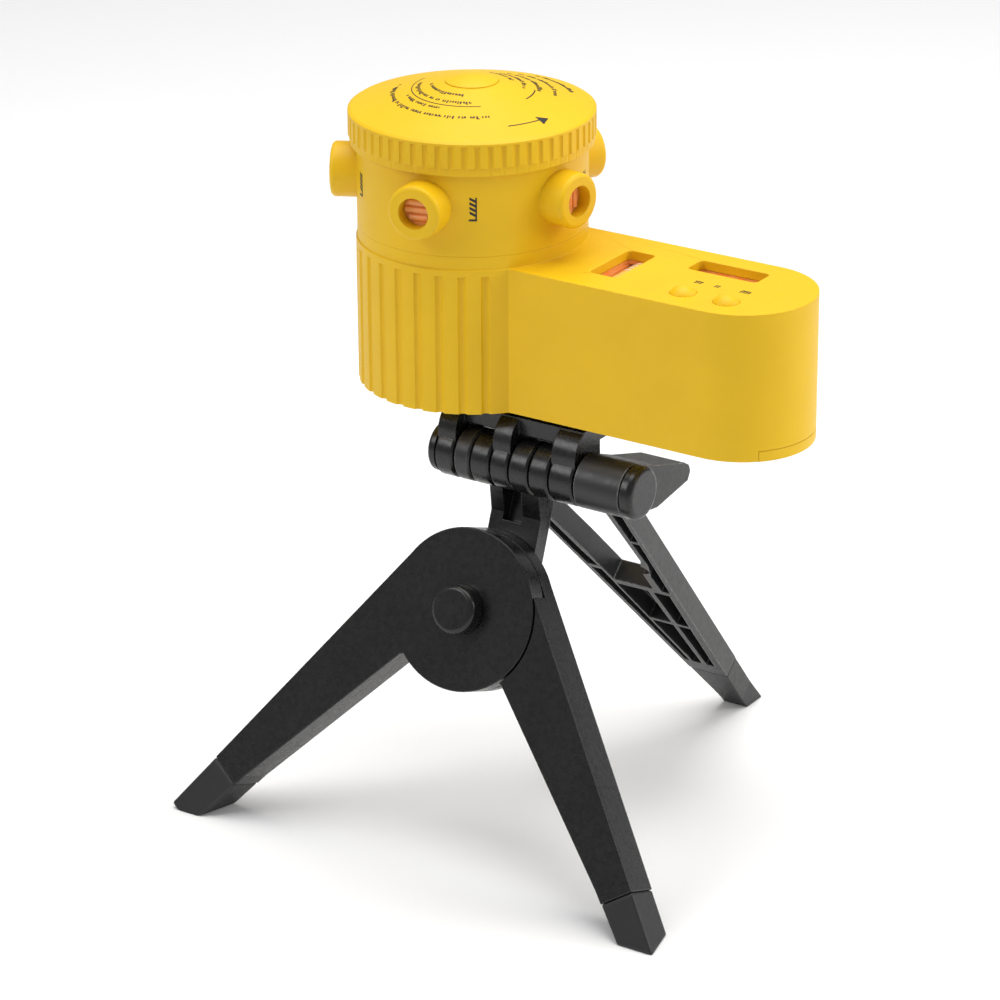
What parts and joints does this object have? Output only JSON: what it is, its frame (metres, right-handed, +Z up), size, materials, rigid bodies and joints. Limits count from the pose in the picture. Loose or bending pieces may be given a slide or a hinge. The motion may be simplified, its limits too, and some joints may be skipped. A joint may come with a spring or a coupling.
{
  "type": "laser level on tripod",
  "caption": "Pocket laser level with a selector turret, beam nozzles and bubble vials, screwed to a folding mini tripod with a tilting barrel hinge.",
  "frame": {"origin": "on the ground, under the middle of the whole object's bounding box", "axes": "+Z up, +X along the battery arm and the tripod barrel, -Y towards the front pair of legs"},
  "size_m": [0.1277, 0.1178, 0.1604],
  "materials": {
    "yellow_plastic": "satin moulded",
    "black_plastic": "satin moulded",
    "foot_plastic": "satin moulded",
    "pad_rubber": "matt",
    "steel": "zinc plated",
    "cell_jacket": null,
    "brass": "turned",
    "board": "solder mask",
    "amber_plastic": "translucent",
    "vial_acrylic": "clear tinted",
    "lamp_lens": "clear"
  },
  "bodies": {
    "tripod_neck": {"neck_bracket": "black_plastic", "hinge_bolt": "steel", "hinge_nut": "black_plastic", "spacer_ring": "black_plastic", "bolt_cap": "black_plastic", "hub_pin": "steel", "pin_cap": "black_plastic"},
    "left_leg": {"left_leg": "black_plastic", "left_foot": "foot_plastic"},
    "right_leg": {"right_leg": "black_plastic", "right_foot": "foot_plastic"},
    "rear_leg": {"rear_leg": "black_plastic", "rear_foot": "foot_plastic"},
    "tilt_plate": {"top_plate": "black_plastic", "plate_pad": "pad_rubber"},
    "tripod_screw": {"tripod_screw": "steel", "screw_wheel": "black_plastic", "screw_ring": "steel"},
    "level": {"main_housing": "yellow_plastic", "base_cover": "yellow_plastic", "threaded_insert": "brass", "housing_screws": "steel", "battery_cells": "cell_jacket", "battery_springs": "steel", "battery_contacts": "steel", "circuit_board": "board", "tact_switches": "black_plastic", "vial_lamp": "lamp_lens", "vial_cross": "vial_acrylic", "vial_long": "vial_acrylic", "vial_tray_cross": "amber_plastic", "vial_tray_long": "amber_plastic"},
    "battery_door": {"battery_door": "yellow_plastic"},
    "laser_button": {"laser_button": "yellow_plastic"},
    "light_button": {"light_button": "yellow_plastic"},
    "beam_ring": {"nozzle_ring": "yellow_plastic", "lens_dot": "amber_plastic", "lens_horizontal": "amber_plastic", "lens_vertical": "amber_plastic", "lens_cross": "amber_plastic", "lens_grid": "amber_plastic", "detent_spring": "steel"},
    "selector": {"selector_cap": "yellow_plastic", "cap_spring": "steel", "laser_carrier": "black_plastic", "laser_module": "brass", "laser_lens": "lamp_lens"},
    "cap_button": {"cap_button": "yellow_plastic"}
  },
  "joints": [
    {"name": "left_leg_fold", "type": "hinge", "parent": "tripod_neck", "child": "left_leg", "pos_m": [-0.00093, -0.03383, 0.05305], "axis": [0, -0.9361, 0.3518], "range_deg": [0, 36]},
    {"name": "right_leg_fold", "type": "hinge", "parent": "tripod_neck", "child": "right_leg", "pos_m": [-0.00093, -0.03383, 0.05305], "axis": [0, 0.9361, -0.3518], "range_deg": [0, 34]},
    {"name": "rear_leg_fold", "type": "hinge", "parent": "tripod_neck", "child": "rear_leg", "pos_m": [0.00167, -0.02257, 0.083], "axis": [-1, 0, 0], "range_deg": [0, 38]},
    {"name": "plate_tilt", "type": "hinge", "parent": "tripod_neck", "child": "tilt_plate", "pos_m": [0.00167, -0.02257, 0.083], "axis": [1, 0, 0], "range_deg": [-25, 25]},
    {"name": "level_pan", "type": "hinge", "parent": "tilt_plate", "child": "level", "pos_m": [-0.00153, -0.00957, 0.095], "axis": [0, 0, 1], "continuous": true},
    {"name": "screw_turn", "type": "hinge", "parent": "tilt_plate", "child": "tripod_screw", "pos_m": [-0.00153, -0.00957, 0.095], "axis": [0, 0, 1], "continuous": true},
    {"name": "ring_turn", "type": "hinge", "parent": "level", "child": "beam_ring", "pos_m": [-0.01653, -0.00957, 0.13], "axis": [0, 0, 1], "continuous": true},
    {"name": "cap_turn", "type": "hinge", "parent": "beam_ring", "child": "selector", "pos_m": [-0.01653, -0.00957, 0.13], "axis": [0, 0, 1], "continuous": true},
    {"name": "cap_button_press", "type": "slide", "parent": "selector", "child": "cap_button", "axis": [0, 0, -1], "range_m": [0, 0.0008], "stiffness_N_per_m": 900, "springref_m": -0.0006, "deforming": ["cap_spring"]},
    {"name": "laser_button_press", "type": "slide", "parent": "level", "child": "laser_button", "axis": [0, 0, -1], "range_m": [0, 0.0008], "stiffness_N_per_m": 900, "springref_m": -0.0006},
    {"name": "light_button_press", "type": "slide", "parent": "level", "child": "light_button", "axis": [0, 0, -1], "range_m": [0, 0.0008], "stiffness_N_per_m": 900, "springref_m": -0.0006},
    {"name": "battery_door_slide", "type": "slide", "parent": "level", "child": "battery_door", "axis": [1, 0, 0], "range_m": [0, 0.05]}
  ]
}
